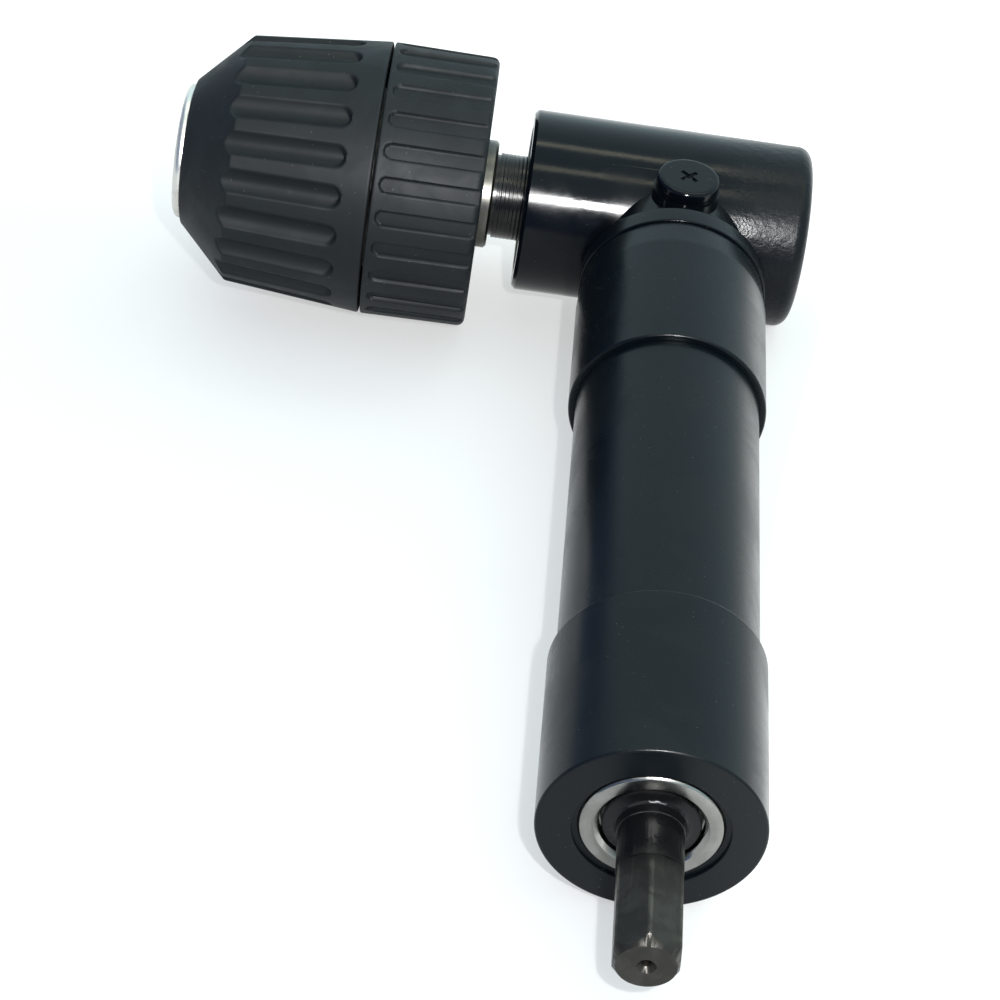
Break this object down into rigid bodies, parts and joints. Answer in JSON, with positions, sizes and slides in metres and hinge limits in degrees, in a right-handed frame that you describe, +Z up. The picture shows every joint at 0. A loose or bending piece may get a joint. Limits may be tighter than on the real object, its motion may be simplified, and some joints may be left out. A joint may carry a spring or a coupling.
{
  "type": "right angle drill attachment",
  "caption": "Right angle drive with a keyless drill chuck: a hex shank in a black handle turns bevel gears in a cylindrical head and the chuck at its side.",
  "frame": {"origin": "centre of the free end face of the hex shank", "axes": "+Y runs along the handle from the shank to the head, the chuck points along -X on the output axis at Y 158 mm, +Z is up through the grease plug"},
  "size_m": [0.1042, 0.1807, 0.0454],
  "materials": {
    "black_paint": "semi-gloss black enamel on turned and cast steel",
    "charcoal_plastic": "fine-textured dark charcoal moulding",
    "dark_steel": "dark phosphated and oiled steel",
    "bright_steel": "turned bright steel",
    "bearing_steel": "ground bearing steel",
    "bronze": "sintered bronze",
    "copper": "soft copper",
    "black_rubber": "matte black rubber"
  },
  "bodies": {
    "housing": {"gear_head": "black_paint", "grease_plug": "black_paint", "plug_washer": "copper", "neck_sleeve": "black_paint", "handle_tube": "black_paint", "end_collar": "black_paint", "shaft_bush": "bright_steel", "shaft_bearing_outer_ring": "bearing_steel", "shaft_circlip": "dark_steel", "spindle_bearing_outer_ring": "bearing_steel", "spindle_circlip": "dark_steel", "dust_seal": "black_rubber", "spindle_bush": "bronze"},
    "input_shaft": {"input_shaft": "dark_steel", "shaft_bearing_inner_ring": "bearing_steel", "pinion_spacer": "bright_steel", "bevel_pinion": "dark_steel", "pinion_pin": "bright_steel"},
    "shaft_cage": {"shaft_bearing_balls": "bearing_steel", "shaft_bearing_cage": "bronze"},
    "spindle_cage": {"spindle_bearing_balls": "bearing_steel", "spindle_bearing_cage": "bronze"},
    "output_spindle": {"output_spindle": "dark_steel", "spindle_bearing_inner_ring": "bearing_steel", "bevel_gear": "dark_steel", "gear_pin": "bright_steel", "chuck_body": "bright_steel", "rear_sleeve": "charcoal_plastic", "nose_ring": "bright_steel", "chuck_screw": "dark_steel"},
    "chuck_sleeve": {"front_sleeve": "charcoal_plastic", "nut_cup": "bright_steel", "split_nut": "dark_steel"},
    "nut_cage": {"nut_balls": "bearing_steel", "nut_ball_cage": "bronze"},
    "jaw_1": {"jaw_1": "dark_steel"},
    "jaw_2": {"jaw_2": "dark_steel"},
    "jaw_3": {"jaw_3": "dark_steel"}
  },
  "joints": [
    {"name": "output_spin", "type": "hinge", "parent": "housing", "child": "output_spindle", "pos_m": [0, 0.158, 0], "axis": [1, 0, 0], "continuous": true},
    {"name": "input_spin", "type": "hinge", "parent": "housing", "child": "input_shaft", "pos_m": [0, 0, 0], "axis": [0, 1, 0], "continuous": true},
    {"name": "shaft_cage_spin", "type": "hinge", "parent": "housing", "child": "shaft_cage", "pos_m": [0, 0, 0], "axis": [0, 1, 0], "continuous": true},
    {"name": "spindle_cage_spin", "type": "hinge", "parent": "housing", "child": "spindle_cage", "pos_m": [0, 0.158, 0], "axis": [1, 0, 0], "continuous": true},
    {"name": "sleeve_turn", "type": "hinge", "parent": "output_spindle", "child": "chuck_sleeve", "pos_m": [0, 0.158, 0], "axis": [1, 0, 0], "range_deg": [0, 3587]},
    {"name": "nut_cage_spin", "type": "hinge", "parent": "output_spindle", "child": "nut_cage", "pos_m": [0, 0.158, 0], "axis": [1, 0, 0], "range_deg": [0, 1794.5]},
    {"name": "jaw_1_slide", "type": "slide", "parent": "output_spindle", "child": "jaw_1", "axis": [-0.9613, 0, -0.2756], "range_m": [0, 0.01814]},
    {"name": "jaw_2_slide", "type": "slide", "parent": "output_spindle", "child": "jaw_2", "axis": [-0.9613, -0.2387, 0.1378], "range_m": [0, 0.01814]},
    {"name": "jaw_3_slide", "type": "slide", "parent": "output_spindle", "child": "jaw_3", "axis": [-0.9613, 0.2387, 0.1378], "range_m": [0, 0.01814]}
  ],
  "couplings": [
    {"joint": "input_spin", "follows": "output_spin", "ratio": -1},
    {"joint": "shaft_cage_spin", "follows": "output_spin", "ratio": -0.39062},
    {"joint": "spindle_cage_spin", "follows": "output_spin", "ratio": 0.40278},
    {"joint": "nut_cage_spin", "follows": "sleeve_turn", "ratio": 0.5},
    {"joint": "jaw_1_slide", "follows": "sleeve_turn", "m_per_rad": 0.00028975},
    {"joint": "jaw_2_slide", "follows": "sleeve_turn", "m_per_rad": 0.00028975},
    {"joint": "jaw_3_slide", "follows": "sleeve_turn", "m_per_rad": 0.00028975}
  ]
}
